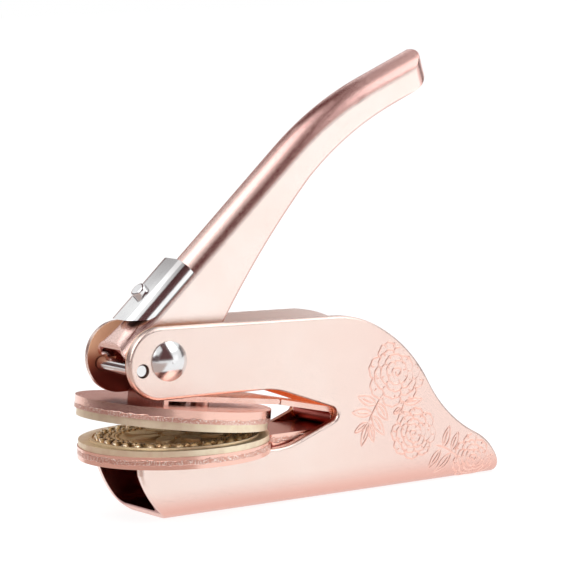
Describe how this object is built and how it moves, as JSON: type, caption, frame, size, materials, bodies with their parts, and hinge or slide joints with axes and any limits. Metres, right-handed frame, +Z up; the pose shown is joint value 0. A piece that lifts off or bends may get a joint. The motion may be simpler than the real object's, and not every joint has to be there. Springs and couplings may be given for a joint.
{
  "type": "hand seal embosser",
  "caption": "Hand press with a bent sheet body, a lever handle with a sliding lock clip, and a round die insert that presses paper between two brass dies.",
  "frame": {"origin": "centre of the bounding box in plan, at the flat bottom of the body", "axes": "+Z up, +X from the dies towards the tail, +Y to the far cheek"},
  "size_m": [0.1075, 0.0448, 0.102],
  "materials": {
    "rose_metal": "polished rose gold plate",
    "chrome": "polished",
    "steel": "plain",
    "plate": "rose gold plate with raw sheared edges",
    "brass": "satin",
    "nylon": "matte"
  },
  "bodies": {
    "frame": {"body_shell": "rose_metal", "pivot_axle": "chrome", "pivot_cap": "chrome", "stop_pin": "chrome", "rest_bar": "steel", "lower_holder": "plate", "lower_die": "brass", "lower_die_screw": "steel", "arm_root": "plate", "foot_rivet_near": "plate", "foot_rivet_far": "plate"},
    "lever": {"handle_shell": "rose_metal", "pivot_sleeve": "steel", "presser_pin": "steel"},
    "roller": {"press_roller": "steel"},
    "jaw": {"upper_disc": "plate", "upper_die": "brass", "upper_die_screw": "steel", "upper_arm": "plate", "disc_rivet_near": "plate", "disc_rivet_far": "plate"},
    "clip": {"lock_clip": "chrome", "clip_button": "chrome", "clip_slider": "nylon", "clip_washer": "steel"}
  },
  "joints": [
    {"name": "handle_pivot", "type": "hinge", "parent": "frame", "child": "lever", "pos_m": [-0.03825, 0, 0.036], "axis": [0, 1, 0], "range_deg": [0, 24]},
    {"name": "arm_flex", "type": "hinge", "parent": "frame", "child": "jaw", "pos_m": [-0.00815, 0, 0.02341], "axis": [0, 1, 0], "range_deg": [-7.5, 0]},
    {"name": "roller_spin", "type": "hinge", "parent": "lever", "child": "roller", "pos_m": [-0.03045, 0, 0.0303], "axis": [0, 1, 0], "continuous": true},
    {"name": "clip_slide", "type": "slide", "parent": "lever", "child": "clip", "axis": [0.749, 0, 0.6626], "range_m": [0, 0.0055]}
  ],
  "couplings": [
    {"joint": "arm_flex", "follows": "handle_pivot", "ratio": -0.3125}
  ]
}
